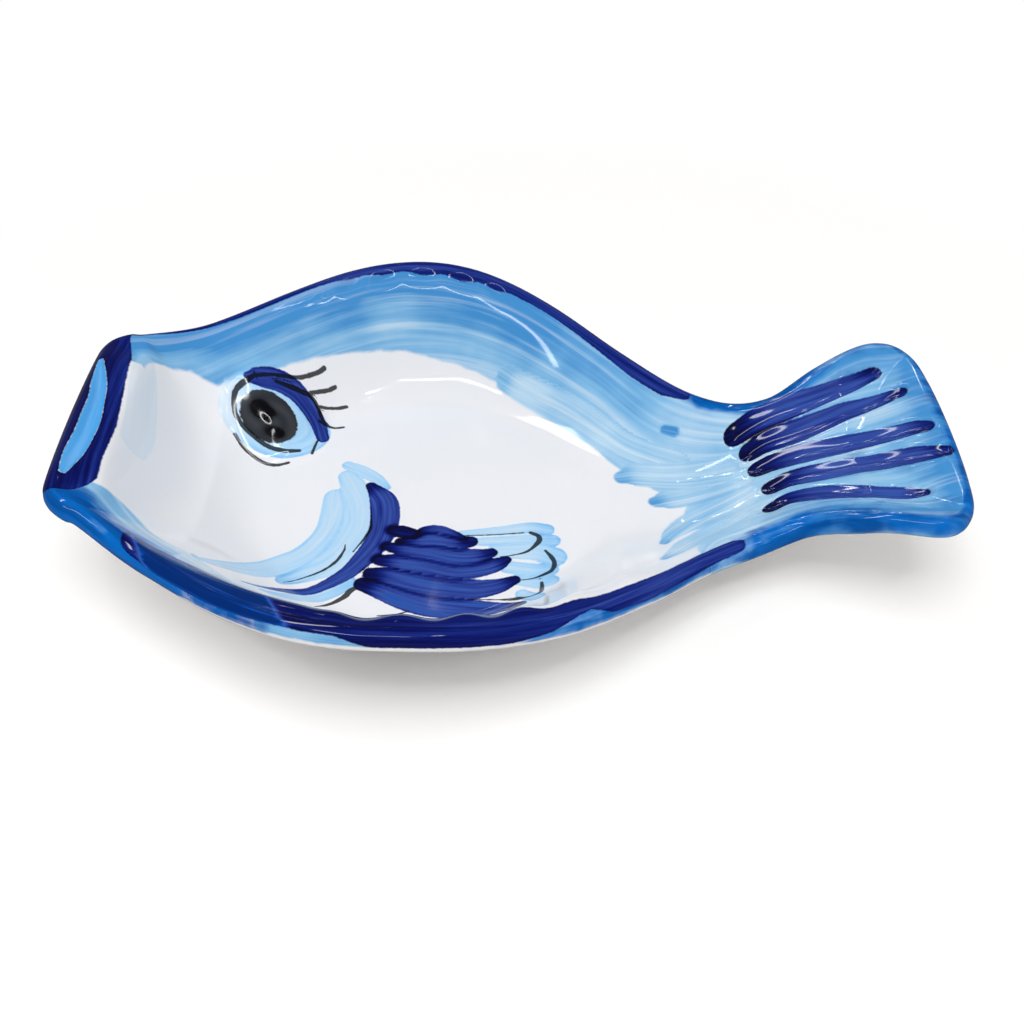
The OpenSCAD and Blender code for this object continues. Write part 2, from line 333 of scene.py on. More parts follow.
NECK_WASHES = [
    [(-2.5, 63, 7), (20, 46, 11), (40, 28, 11), (60, 18, 10)],
    [(50, -42, 3), (62, -28, 12), (76, -18, 14)],
    [(52, -25, 3), (57, -17, 8), (66, -10, 11), (80, -5, 12)],
    [(52, 0, 6), (58, 1.5, 10), (80, 4, 12)],
    [(41, 13.5, 7), (47, 14, 11), (75, 11, 12)],
]
NECK_DAB = [(57, 31.5, 3), (60.5, 30, 3.5)]
HEAD_WASH = [(-131.5, 34, 5), (-130.5, 26, 7), (-129, 14, 7.5), (-127.5, 2, 7.5), (-127.5, -8, 6.5)]
EYE_LINES = [
    [(-98, 50, 1.4), (-101, 47, 1.8), (-104, 43, 1.8), (-104.5, 38.5, 1.7), (-103.5, 34.5, 1.7),
     (-100.5, 31, 1.7), (-96.5, 28.5, 1.7), (-92, 26.7, 1.7), (-86.5, 26.5, 1.7), (-80.5, 27.5, 1.5)],
    [(-103, 27.5, 1.2), (-100, 24, 1.4), (-96, 21.5, 1.4), (-91.5, 20, 1.4), (-87.5, 20, 1.4),
     (-83.5, 21.5, 1.2)],
    [(-91, 51, 1), (-86.5, 51.5, 1.8), (-82, 52, 2), (-78, 52, 1.8), (-75.5, 49.5, 1.8),
     (-73.8, 45.5, 1.6), (-71.5, 43.5, 1.4)],
    [(-98, 50, 1.2), (-91.7, 52.8, 1.2), (-84.8, 55.2, 1.3), (-80, 57.5, 1.3), (-76, 60, 1.3),
     (-73, 62.5, 1.4)],
    [(-78, 53.5, 1.2), (-74.3, 55.3, 1.3), (-71.5, 56.7, 1.3), (-69, 58.5, 1.4)],
    [(-74.7, 50, 1.2), (-70, 51.2, 1.2), (-67, 52.2, 1.2), (-64.5, 53.3, 1.2)],
    [(-74.8, 43.8, 1), (-71.5, 43, 1.3), (-68, 42.5, 1.2), (-65, 43, 1.2)],
    [(-74.3, 34, 0.8), (-75, 30, 1.2), (-75.3, 27, 1.3)],
]
FIN_LINES = [
    [(-17, -17.5, 0.4), (-6.5, -17, 0.5), (4, -16, 0.5)],
    [(6.5, -16, 1.4), (9, -17.5, 1.8), (9.5, -20, 2), (7.5, -23, 1.4), (5, -25.5, 1), (1, -27, 0.6),
     (-4, -28, 0.4)],
    [(11.5, -25, 1), (13.5, -28, 1.7), (14.5, -31, 1.7), (13.5, -34.5, 1.5), (10.5, -36.7, 1),
     (7, -38.4, 0.6), (2.7, -39.2, 0.4)],
    [(10, -40.5, 1.2), (10, -44, 1.6), (9.4, -46.7, 1.3), (6.8, -47.9, 0.7), (4, -48.2, 1.2),
     (2.2, -48.2, 2), (-4, -48.3, 0.7), (-14.5, -48, 0.4)],
    [(-44, -55.5, 0.4), (-38.5, -55, 0.7), (-34, -53.5, 0.5)],
    [(-64.5, -53, 0.5), (-59.5, -50, 1.4), (-55.7, -47, 2), (-54.2, -44.5, 2.2), (-52.5, -43, 1.8)],
    [(-76.5, -41, 0.4), (-70, -38, 0.6), (-64, -34.5, 0.9), (-60, -30, 1.2), (-58, -25, 0.9),
     (-57.8, -22, 0.3)],
    [(-50.2, -7, 0.5), (-49.6, -13, 1), (-51.2, -18.2, 1), (-54.7, -25.5, 0.5)],
]

# Distances to a stroke are kept up to this many mm
FAR = 9.0


def smooth_path(points, steps=10):
    """Open smooth curve through the points of a stroke."""
    p = np.array(points, float)
    p = np.vstack([2 * p[0] - p[1], p, 2 * p[-1] - p[-2]])
    t = np.linspace(0, 1, steps, endpoint=False)[:, None]
    parts = [between(p[i], p[i + 1], p[i + 2], p[i + 3], t) for i in range(len(p) - 3)]
    path = np.vstack(parts + [p[-2:-1]])
    path[:, 2] = np.maximum(path[:, 2], 0.2)
    return path


def stroke_fields(x, y, points):
    """For the places within FAR of a stroke: which they are, distance to its edge (negative inside),
    distance along it, signed distance beside its middle line, distance past its ends, half its width."""
    path = smooth_path(points)
    low = path[:, :2].min(0) - FAR
    high = path[:, :2].max(0) + FAR
    near = np.nonzero((x > low[0]) & (x < high[0]) & (y > low[1]) & (y < high[1]))[0]
    start = path[:-1]
    step = np.diff(path, axis=0)
    length = np.hypot(step[:, 0], step[:, 1])
    travel = np.concatenate([[0], np.cumsum(length)])
    rel_x = x[near, None] - start[:, 0]
    rel_y = y[near, None] - start[:, 1]
    ahead = (rel_x * step[:, 0] + rel_y * step[:, 1]) / length
    beside = (rel_y * step[:, 0] - rel_x * step[:, 1]) / length
    past = np.maximum(np.maximum(-ahead, ahead - length), 0)
    pick = np.argmin(beside**2 + past**2, axis=1)
    row = np.arange(len(near))
    ahead = ahead[row, pick]
    beside = beside[row, pick]
    along = travel[pick] + np.clip(ahead, 0, length[pick])
    half = (start[pick, 2] + step[pick, 2] * np.clip(ahead / length[pick], 0, 1)) / 2
    gap = np.hypot(beside, past[row, pick]) - half
    beyond = np.maximum(-(travel[pick] + ahead), travel[pick] + ahead - travel[-1])
    return near, gap, along, beside, beyond, half


class Layer:
    """One colour of the brushwork: distance to its edge, how dark it is, and the run of the brush."""

    def __init__(self, count, seam=0.15):
        self.seam = seam
        self.edge = np.full(count, FAR)
        self.tone = np.zeros(count)
        self.grain = np.zeros((count, 3))
        self.strokes = 0

    def add(self, near, gap, tone, along, beside, soft=1.2):
        """Lay one more stroke over the others; its tone sets in over a run of soft mm."""
        overlap = 0.3
        seam_width = 0.9
        grain_step = 7.3
        self.strokes += 1
        over = (gap < overlap) | (gap < self.edge[near])
        covered = self.edge[near] < -overlap
        seam = np.exp(-((gap / seam_width) ** 2)) * covered
        share = np.where(covered, ease(0.5 - gap / soft), over)
        self.tone[near] = mix(self.tone[near], tone, share) + self.seam * seam
        run = np.stack([along, beside, np.full(len(near), grain_step * self.strokes)], -1)
        self.grain[near] = np.where(over[:, None], run, self.grain[near])
        self.edge[near] = np.minimum(self.edge[near], gap)

    def stroke(self, x, y, points, tone):
        """A stroke whose tone is a function of the distances from its start and its end."""
        near, gap, along, beside, _, _ = stroke_fields(x, y, points)
        reach = along.max() if len(along) else 0
        self.add(near, gap, tone(along, reach - along), along, beside)


def pooled(plain, start=0.0, start_run=1.0, end=0.0, end_run=1.0):
    """Tone of a stroke that may be darker where the brush was set down and where it was lifted."""
    def tone(from_start, from_end):
        at_start = start * np.exp(-((from_start / start_run) ** 2))
        at_end = end * np.exp(-((from_end / end_run) ** 2))
        return plain + at_start + at_end
    return tone


def round_max(*gaps, soft=0.8):
    """The largest of the distances, with corners rounded as a brush leaves them."""
    largest = np.maximum.reduce(gaps)
    return largest + soft * np.log(sum(np.exp((gap - largest) / soft) for gap in gaps))


def band(across, inner, outer):
    """Distance to the edges of a band that runs along the rim."""
    return round_max(across - inner, outer - across)


def cobalt_layer(x, y, across):
    layer = Layer(len(x), seam=0.4)
    everywhere = np.arange(len(x))
    back = y > 0

    # Band along the back
    inner = np.interp(x, [-142, -122, -104, -76, -52, -20, -5, 15, 28, 45, 56, 68],
                      [-0.8, 0.3, 1.5, 1.5, 3, 4.2, 3.6, 3.2, 3.6, 5, 5, 2])
    gap = round_max(across - inner, -7.5 - across, x - 67)
    gap = np.where(back, gap, FAR)
    layer.add(everywhere, gap, 0.6 + 0 * x, x, across)

    # Band along the belly, lighter towards the mouth
    inner = np.interp(x, [-120, -108, -96, -80, -60, -10, 2, 12, 30, 50, 72, 77],
                      [3.5, 5.5, 7.5, 8.5, 10, 9, 6.5, 4.5, 3.2, 1.8, 2, 0.5])
    outer = np.interp(x, [-120, -108, -84, -66, -50, -40, 0, 12, 20, 24, 31, 42, 63, 77],
                      [-2.5, -4, -4, -3, -3.2, -6.2, -6.2, -4.5, -1.5, -0.8, -4.2, -5, -4, -3])
    gap = round_max(across - inner, outer - across, -120 - x, x - 77)
    gap = np.where(back, FAR, gap)
    slanted = x + 0.9 * (across + 4)
    tone = np.interp(slanted, [-116, -112.5, -109.5, -64, -61, 5, 50],
                     [0.75, 0.7, -0.04, -0.03, 0.85, 0.7, 0.52])
    layer.add(everywhere, gap, tone, x, across)

    # Lips of the mouth round the leaf
    ragged = np.interp(y, [-40, -36, -32, -26, -7, 7, 31, 43],
                       [-138, -134.5, -132.4, -132.5, -131.8, -133, -135.3, -138.5])
    gap = round_max(x - ragged, -40 - y, y - 52, -8 - across)
    near, leaf, along, beside, _, _ = stroke_fields(x, y, LEAF_STROKE)
    gap[near] = np.maximum(gap[near], -leaf)
    tone = np.interp(x - ragged, [-12, -6, -2, 0], [0.82, 0.8, 0.7, 0.58])
    layer.add(everywhere, gap, tone, y, x)

    for points in TAIL_STROKES:
        layer.stroke(x, y, points, pooled(0.42, start=0.5, start_run=9, end=0.3, end_run=5))
    layer.stroke(x, y, GILL_STROKE, pooled(0.42, start=0.4, start_run=4))
    for points in FIN_STROKES:
        layer.stroke(x, y, points, pooled(0.38, start=0.5, start_run=5, end=0.4, end_run=4))
    layer.stroke(x, y, LID_STROKE, pooled(0.5))
    return layer


def light_layer(x, y):
    layer = Layer(len(x))
    layer.stroke(x, y, LEAF_STROKE, pooled(1.1))
    for points in GILL_WASHES + FEATHER_WASHES:
        layer.stroke(x, y, points, pooled(0.3, end=0.25, end_run=6))
    layer.stroke(x, y, HEAD_WASH, pooled(-0.75))

    # Surround of the eye, brushed round it
    run_radius = 16
    off_x = x - SURROUND_X
    off_y = y - SURROUND_Y
    gap = (np.hypot(off_x / SURROUND_LONG, off_y / SURROUND_HIGH) - 1) * SURROUND_HIGH
    near = np.nonzero(gap < FAR)[0]
    along = run_radius * np.arctan2(off_y[near], off_x[near])
    tone = np.interp(x[near], [-108, -98, -70], [-0.2, 0.4, 0.5])
    layer.add(near, gap[near], tone, along, gap[near])
    return layer


def wash_layer(x, y, across):
    layer = Layer(len(x), seam=0.04)
    everywhere = np.arange(len(x))
    back = y > 0
    low_edge = np.interp(x, [-140, -135, -127, -119, -110, -96, -82, -67, -52, -28, -5, 16, 36, 60, 75],
                         [15, 13, 9.5, 10.5, 16, 17.5, 18.5, 20.5, 22, 25, 28, 29, 34, 36, 45])
    mouth_end = np.interp(x, [-146, -132, -122, -110], [27, 30, 20, -60])
    gap = np.maximum.reduce([across - low_edge, -9 - across, mouth_end - y])
    tone = np.interp(across / low_edge, [0, 0.12, 0.32, 0.5, 0.8, 1], [0.95, 1.35, 1.35, 0.95, 0.5, 0.55])
    tone = tone * np.interp(x, [-140, 10, 55], [1, 0.8, 0.35])
    flow = mix(across, 35 * (1 - y / half_width(x)), ease(share_of(x, 30, 70)))
    layer.add(everywhere, np.where(back, gap, FAR), tone, x, flow)

    # Pale run inside the band of the belly
    inner = np.interp(x, [-120, -100, -62], [13, 17, 12])
    gap = round_max(across - inner, 5 - across, -119 - x, x + 62)
    layer.add(everywhere, np.where(back, FAR, gap), 0 * x, x, across)

    # Low corner of the mouth
    inner = np.interp(x, [-146, -130, -105], [12, 15, 13])
    gap = round_max(across - inner, y + 34, x + 104)
    layer.add(everywhere, gap, 0.5 + 0 * x, x, across)

    # Outside of the rim below the band of the belly, with a pause in the middle
    pause_x = -20
    pause_half = 15
    ends = np.maximum.reduce([-74 - x, x - 90, pause_half - np.abs(x - pause_x)])
    gap = np.maximum(band(across, 2, -6), ends)
    layer.add(everywhere, np.where(back, FAR, gap), 0.75 + 0 * x, x, across)

    # Tail and neck
    gap = np.maximum(64 + 3 * np.sin(y / 5) - x, -9 - across)
    tone = np.interp(x, [60, 80, 100, 130, 150], [0.1, 0.2, 0.4, 0.5, 0.6])
    tone = tone + 0.55 * np.exp(-((across / 8) ** 2)) * ease(share_of(x, 80, 100))
    layer.strokes = 0
    layer.add(everywhere, gap, tone, x, flow, soft=30)
    for points in NECK_WASHES:
        layer.stroke(x, y, points, pooled(0.15, start=0.5, start_run=4))
    layer.stroke(x, y, NECK_DAB, pooled(1.1))
    return layer


def medium_share(x, y, across):
    """How much of the stronger blue lies on a place: rim of neck and tail, low corner of the mouth."""
    back = y > 0
    rim_inner = np.interp(x, [60, 70, 95, 110, 130, 150], [2, 4, 4.5, 4, 1.5, 1.5])
    rim_gap = band(across, rim_inner, -9)
    tail_rim = ease(0.5 - rim_gap / 8) * share_of(x, np.where(back, 60, 70), np.where(back, 68, 80))
    tail_rim = tail_rim * np.interp(x, [85, 125], [1, 0.6])
    strip_reach = np.maximum(share_of(x, -20, 5), share_of(-x, 68, 76))
    strip = 0.8 * ease(0.5 - band(across, 0, -6.8) / 2) * strip_reach * (y < 0)
    tail_rim = np.maximum(tail_rim, strip)
    tail_inside = 0.18 * ease(share_of(x, 84, 120)) * (across > 0)
    corner_gap = np.maximum(band(across, 6, -9), x + 100)
    corner = ease(0.5 - corner_gap / 10) * ease(0.5 - (y + 35) / 4)
    return np.clip(np.maximum(tail_rim, tail_inside) + corner, 0, 1)


def blot(x, y, middle_x, middle_y, long, high):
    """1 inside a small oval and 0 outside, with a soft edge."""
    return np.exp(-(((x - middle_x) / long) ** 2 + ((y - middle_y) / high) ** 2) ** 2)


def ink_fields(x, y):
    """Iris of the eye as an area with its own tone, and all thin lines."""
    iris = (np.hypot((x - IRIS_X) / IRIS_LONG, (y - IRIS_Y) / IRIS_HIGH) - 1) * IRIS_RADIUS
    turn = np.arctan2(y - IRIS_Y, x - IRIS_X)
    swirl = 0.5 + 0.5 * np.sin(2 * turn + iris * 0.9)
    pupil = blot(x, y, -95.5, 39, 4.2, 3.4)
    spot = blot(x, y, -91, 32.5, 4, 2.2)
    tone = np.clip(0.25 + 0.3 * swirl + pupil + 0.8 * spot, 0, 1)
    line = np.tile([FAR, FAR, 0.1, FAR], (len(x), 1))
    for points in EYE_LINES + FIN_LINES:
        near, gap, _, beside, beyond, half = stroke_fields(x, y, points)
        closer = gap < line[near, 3]
        fields = np.stack([beside, beyond, half, gap], -1)
        line[near] = np.where(closer[:, None], fields, line[near])
    return np.minimum(iris, FAR), tone, line


def paint(mesh, x, y, across):
    """Store the brushwork on the points of a mesh; the underside stays white."""
    across = np.where(across > 0, join([across, x - MOUTH_X, TAIL_X - x]), across)
    cobalt = cobalt_layer(x, y, across)
    light = light_layer(x, y)
    wash = wash_layer(x, y, across)
    iris, iris_tone, line = ink_fields(x, y)
    shown = across > PAINT_END
    for name, layer in (("cobalt", cobalt), ("light", light), ("wash", wash)):
        store(mesh, name + "_edge", np.where(shown, layer.edge, FAR))
        store(mesh, name + "_tone", layer.tone)
        store(mesh, name + "_grain", layer.grain)
    store(mesh, "medium", np.where(shown, medium_share(x, y, across), 0))
    store(mesh, "iris_edge", np.where(shown, iris, FAR))
    store(mesh, "iris_tone", iris_tone)
    store(mesh, "line", np.where(shown[:, None], line, FAR))


def store(mesh, name, values):
    kinds = {1: ("FLOAT", "value"), 3: ("FLOAT_VECTOR", "vector"), 4: ("FLOAT_COLOR", "color")}
    values = np.asarray(values, np.float32)
    kind, field = kinds[1 if values.ndim == 1 else values.shape[1]]
    attribute = mesh.attributes.new(name, kind, "POINT")
    attribute.data.foreach_set(field, values.ravel())


# Finger marks: shallow waves that the potter's fingers left on the rim and the tail


def finger_dents(x, y, across):
    """Depth of the dents below the plain clay, in mm; below zero where the clay was pushed up."""
    back_depth = 1.5
    belly_depth = 1.5
    belly_ridge = 2.7
    groove_depth = 1.2
    groove_side = 1.5
    back = y > 0
    back_wave = 0.5 - 0.5 * np.cos(2 * np.pi * x / 14 + 0.7 * np.sin(x / 11))
    back_reach = ease(share_of(x, -78, -64)) * ease(share_of(-x, -8, 6))
    back_place = np.exp(-(((across - 4.3) / 2) ** 2))
    belly_wave = 0.5 + 0.5 * np.cos(2 * np.pi * (x + 6) / 18 + 0.6 * np.sin(x / 13))
    belly_wave = belly_wave * ease(share_of(x, -62, -46))
    belly_reach = ease(share_of(x, -110, -60)) * ease(share_of(-x, -60, -10))
    belly_place = np.exp(-(((across - 6.5) / 4) ** 2)) * ease(across / 4)
    dents = np.where(back, back_depth * back_wave * back_reach * back_place,
                     (belly_depth * belly_wave - belly_ridge) * belly_reach * belly_place)
    for points in TAIL_STROKES:
        near, gap, _, _, _, half = stroke_fields(x, y, points)
        groove = groove_depth * ease((groove_side - gap) / (groove_side + half))
        groove = groove * ease((across[near] - 1) / 5)
        dents[near] = np.maximum(dents[near], groove)
    return dents


# Meshes


def make_mesh(name, points, faces):
    """Mesh object from points in mm and lists of four corners; equal points are joined."""
    keys = np.round(points, 4)
    _, first, joined = np.unique(keys, axis=0, return_index=True, return_inverse=True)
    joined = joined.ravel()
    corners = joined[np.asarray(faces)]
    kept = []
    for face in corners.tolist():
        ring = [c for i, c in enumerate(face) if c != face[i - 1]]
        if len(ring) > 2:
            kept.append(ring)
    mesh = bpy.data.meshes.new(name)
    mesh.from_pydata((points[first] * MM).tolist(), [], kept)

    # Faces look outward when the volume that they enclose is above zero
    a, b, c, d = (points[first][corners[:, k]] for k in range(4))
    if np.sum(a * (np.cross(b, c) + np.cross(c, d))) < 0:
        mesh.flip_normals()
    mesh.shade_smooth()
    piece = bpy.data.objects.new(name, mesh)
    bpy.context.scene.collection.objects.link(piece)
    return piece, first


def grid_faces(rows, columns, closed):
    """Four-cornered faces between the points of a grid whose rows may be closed rings."""
    r, c = np.meshgrid(np.arange(rows - 1), np.arange(columns if closed else columns - 1), indexing="ij")
    n = (c + 1) % columns
    this_row = r * columns
    next_row = this_row + columns
    return np.stack([this_row + c, next_row + c, next_row + n, this_row + n], -1).reshape(-1, 4)


def bake_map(piece, flat, across):
    """Map for baked colours: the top in one half of the picture, the underside in the other."""
    mesh = piece.data
    corners = np.zeros(len(mesh.loops), np.int32)
    mesh.loops.foreach_get("vertex_index", corners)
    starts = np.zeros(len(mesh.polygons), np.int32)
    mesh.polygons.foreach_get("loop_start", starts)
    counts = np.diff(np.append(starts, len(corners)))
    middle = np.add.reduceat(across[corners], starts) / counts
    under = np.repeat(middle < -EDGE * np.pi / 2, counts)
    margin = 0.01
    place = margin + (1 - 2 * margin) * (flat[corners] - flat.min(0)) / np.ptp(flat, axis=0)
    place[:, 1] = (place[:, 1] + under) / 2
    layer = mesh.uv_layers.new(name="OFBake")
    layer.data.foreach_set("uv", place.astype(np.float32).ravel())


def rim_across(x, y):
    """Distance from the rim square to it, seen from above."""
    return (half_width(x) - np.abs(y)) / np.hypot(1, side_slope(x))


def platter_body():
    """The pressed dish: top, rolled rim and underside as one closed net."""
    rows_above = 106
    rows_under = 8
    crowd_above = 1.3
    crowd_under = 1.2
    roll_steps = 10
    rim, outward = rim_columns()
    spine = np.stack([np.clip(rim[:, 0], SPINE_START, SPINE_END), 0 * rim[:, 0]], -1)
    reach = np.linalg.norm(spine - rim, axis=1)
    rings = []
    flat_rings = []
    across_rings = []

    for share in np.linspace(1, 0, rows_above + 1) ** crowd_above:
        flat = mix(rim, spine, share)
        points, normal = clay_face(flat[:, 0], flat[:, 1], share * reach, 1)
        across = rim_across(points[:, 0], points[:, 1])
        if share == 0:
            across = 0 * across
        points = points - normal * finger_dents(points[:, 0], points[:, 1], across)[:, None]
        rings.append(points)
        flat_rings.append(points[:, :2])
        across_rings.append(across)

    for angle in np.linspace(0, np.pi, roll_steps + 1)[1:-1]:
        across = np.full(len(rim), -EDGE * angle)
        radius = EDGE - ROLL_INSET - finger_dents(rim[:, 0], rim[:, 1], across)
        level = rim + outward * (radius * np.sin(angle))[:, None]
        height = rim_height(rim[:, 0]) + radius * np.cos(angle)
        rings.append(np.column_stack([level, height]))
        flat_rings.append(rim + outward * EDGE * min(angle, np.pi - angle))
        across_rings.append(across)

    for share in np.linspace(0, 1, rows_under + 1) ** crowd_under:
        flat = mix(rim, spine, share)
        points, _ = clay_face(flat[:, 0], flat[:, 1], share * reach, -1)
        rings.append(points)
        flat_rings.append(points[:, :2])
        across_rings.append(-np.pi * EDGE - share * reach)

    points = np.vstack(rings)
    across = np.concatenate(across_rings)
    piece, first = make_mesh("platter_body", points, grid_faces(len(rings), len(rim), True))
    paint(piece.data, points[first, 0], points[first, 1], across[first])
    bake_map(piece, np.vstack(flat_rings)[first], across[first])
    return piece


def mouth_lips():
    """The flat lip of the mouth with its leaf-shaped hollow."""
    row_count = 56
    taper = 0.4
    inner_slope = 9
    hollow_share = 0.8
    sink = 0.25
    rim, outward = rim_columns()
    reach = int(np.argmax(rim[:, 0] > mix(MOUTH_X, CORNER_X, 0.95)))
    columns = np.arange(-reach, reach + 1) % len(rim)
    rim = rim[columns]
    outward = outward[columns]
    spine = np.array([SPINE_START, 0.0])
    length = np.linalg.norm(spine - rim, axis=1)
    ends = ease((1 - np.abs(rim[:, 1] / rim[0, 1])) / taper)
    rows = []
    beds = []
    across_rows = []
    for across in np.linspace(LIP_INNER, LIP_OUTER, row_count):
        if across > 0:
            flat = mix(rim, spine, (across / length)[:, None])
            points, _ = clay_face(flat[:, 0], flat[:, 1], np.full(len(rim), across), 1)
        else:
            turn = -across / EDGE
            level = rim + outward * EDGE * np.sin(turn)
            points = np.column_stack([level, rim_height(rim[:, 0]) + EDGE * np.cos(turn)])
        sides = ease((across - LIP_OUTER) / RIM) * ease((LIP_INNER - across) / inner_slope)
        near, leaf, _, _, _, _ = stroke_fields(points[:, 0], points[:, 1], LEAF_STROKE)
        hollow = np.zeros(len(rim))
        hollow[near] = ease(0.2 - leaf / 3)
        rise = LIP_HEIGHT * sides * ends * (1 - hollow_share * hollow) - sink * (1 - sides * ends) ** 2
        rows.append(points + np.outer(rise, UP))
        beds.append(points - np.outer(sink + BED_DEPTH * ends, UP))
        across_rows.append(np.full(len(rim), across))
    points = np.vstack(rows + beds[::-1] + rows[:1])
    across = np.full(len(points), UNDERSIDE)
    across[:len(rows) * len(rim)] = np.concatenate(across_rows)
    piece, first = make_mesh("mouth_lips", points, grid_faces(2 * len(rows) + 1, len(rim), False))
    paint(piece.data, points[first, 0], points[first, 1], across[first])
    bake_map(piece, points[first, :2], across[first])
    return piece


def eye_dome():
    """The low round pellet of the eye, smoothed into the wall."""
    rings = 56
    bed_rings = 8
    spokes = 220
    skirt = 1.5
    dome_power = 1.4
    edge_lift = 0.03
    skirt_slope = 2
    radius = EYE_RADIUS + skirt
    r = np.concatenate([np.linspace(0, radius, rings), np.linspace(radius, 0, bed_rings)])
    bed = np.repeat(np.arange(len(r)) >= rings, spokes)
    turn = np.linspace(0, 2 * np.pi, spokes, endpoint=False)
    x = EYE_X + np.outer(r, np.cos(turn)).ravel()
    y = EYE_Y + np.outer(r, np.sin(turn)).ravel()
    base, _ = clay_face(x, y, rim_distance(x, y), 1)
    lift_way = wall_normal(np.array([EYE_X]), np.array([EYE_Y]))[0]
    out = np.hypot(x - EYE_X, y - EYE_Y) / EYE_RADIUS
    dome = EYE_HEIGHT * np.clip(1 - out**2, 0, 1) ** dome_power
    lift = dome + edge_lift - skirt_slope * np.clip(out - 1, 0, 1)
    off_x = (x - BULGE_X) / BULGE_SPREAD
    off_y = (y - BULGE_Y) / BULGE_SPREAD
    lift += BULGE_HEIGHT * np.exp(-(off_x**2) - off_y**2)
    lift = np.where(bed, -BED_DEPTH, lift)
    points = base + lift[:, None] * lift_way
    across = np.where(bed, UNDERSIDE, rim_across(base[:, 0], base[:, 1]))
    piece, first = make_mesh("eye_dome", points, grid_faces(len(r), spokes, True))
    paint(piece.data, base[first, 0], base[first, 1], across[first])
    bake_map(piece, base[first, :2], across[first])
    return piece


# Materials


class Nodes:
    """Short ways to add shader nodes to one material."""

    def __init__(self, name):
        self.material = bpy.data.materials.new(name)
        self.material.use_nodes = True
        self.tree = self.material.node_tree
        self.shader = self.tree.nodes["Principled BSDF"]

    def add(self, kind, **settings):
        node = self.tree.nodes.new(kind)
        for name, value in settings.items():
            setattr(node, name, value)
        return node

    def feed(self, socket, value):
        if isinstance(value, bpy.types.NodeSocket):
            self.tree.links.new(value, socket)
        else:
            socket.default_value = value

    def number(self, name):
        return self.add("ShaderNodeAttribute", attribute_name=name).outputs["Fac"]

    def vector(self, name):
        return self.add("ShaderNodeAttribute", attribute_name=name).outputs["Vector"]

    def math(self, operation, *values):
        node = self.add("ShaderNodeMath", operation=operation)
        for socket, value in zip(node.inputs, values):
            self.feed(socket, value)
        return node.outputs[0]

    def step(self, value, low, high):
        """0 at low and 1 at high, with a soft run between."""
        node = self.add("ShaderNodeMapRange", interpolation_type="SMOOTHSTEP")
        self.feed(node.inputs["Value"], value)
        self.feed(node.inputs["From Min"], low)
        self.feed(node.inputs["From Max"], high)
        return node.outputs[0]

    def scaled(self, vector, scale):
        node = self.add("ShaderNodeVectorMath", operation="MULTIPLY")
        self.feed(node.inputs[0], vector)
        self.feed(node.inputs[1], scale)
        return node.outputs[0]

    def noise(self, vector, scale, detail=2.0, rough=0.5):
        node = self.add("ShaderNodeTexNoise")
        self.feed(node.inputs["Vector"], vector)
        self.feed(node.inputs["Scale"], scale)
        self.feed(node.inputs["Detail"], detail)
        self.feed(node.inputs["Roughness"], rough)
        return node.outputs["Fac"]

    def blend(self, share, a, b):
        node = self.add("ShaderNodeMix", data_type="RGBA")
        self.feed(node.inputs[0], share)
        self.feed(node.inputs[6], a)
        self.feed(node.inputs[7], b)
        return node.outputs[2]

    def ramp(self, value, stops):
        node = self.add("ShaderNodeValToRGB")
        self.feed(node.inputs["Fac"], value)
        elements = node.color_ramp.elements
        while len(elements) < len(stops):
            elements.new(0.5)
        for element, (place, colour) in zip(elements, stops):
            element.position = place
            element.color = colour
        return node.outputs["Color"]

    def bump(self, height, distance):
        node = self.add("ShaderNodeBump")
        self.feed(node.inputs["Height"], height)
        self.feed(node.inputs["Distance"], distance)
        self.feed(self.shader.inputs["Normal"], node.outputs["Normal"])


def shade(red, green, blue):
    """A display colour, 0 to 255, as the shader wants it."""
    parts = [c / 255 for c in (red, green, blue)]
    return tuple(c / 12.92 if c <= 0.04045 else ((c + 0.055) / 1.055) ** 2.4 for c in parts) + (1.0,)


WHITE = shade(238, 238, 241)
WHITE_COOL = shade(230, 233, 238)
SKY_PALE = shade(184, 216, 238)
SKY = shade(126, 184, 226)
SKY_DEEP = shade(58, 140, 205)
MEDIUM = shade(4, 108, 198)
MEDIUM_DEEP = shade(0, 76, 152)
COBALT_STOPS = [
    (0.0, shade(0, 42, 112)),
    (0.1, shade(4, 62, 148)),
    (0.2, shade(16, 84, 170)),
    (0.31, shade(54, 84, 166)),
    (0.45, shade(44, 64, 146)),
    (0.62, shade(18, 38, 122)),
    (0.8, shade(6, 16, 90)),
    (1.0, shade(6, 8, 44)),
]
INK = shade(17, 19, 24)
INK_BLACK = shade(8, 9, 14)
SPECK = shade(150, 146, 142)


def streaks(n, grain, length, width, detail=3.0):
    """Marks of the bristles: noise drawn out along the stroke."""
    return n.noise(n.scaled(grain, (1 / length, 1 / width, 1)), 1.0, detail, 0.6)


def edge_share(n, name, ragged, soft, scale=700.0):
    """1 inside a layer and 0 outside, with an edge made ragged by the bristles."""
    place = n.add("ShaderNodeTexCoord").outputs["Object"]
    wander = n.math("SUBTRACT", n.noise(place, scale, 3.0), 0.5)
    distance = n.math("MULTIPLY_ADD", wander, ragged, n.number(name))
    return n.step(distance, soft, -soft)


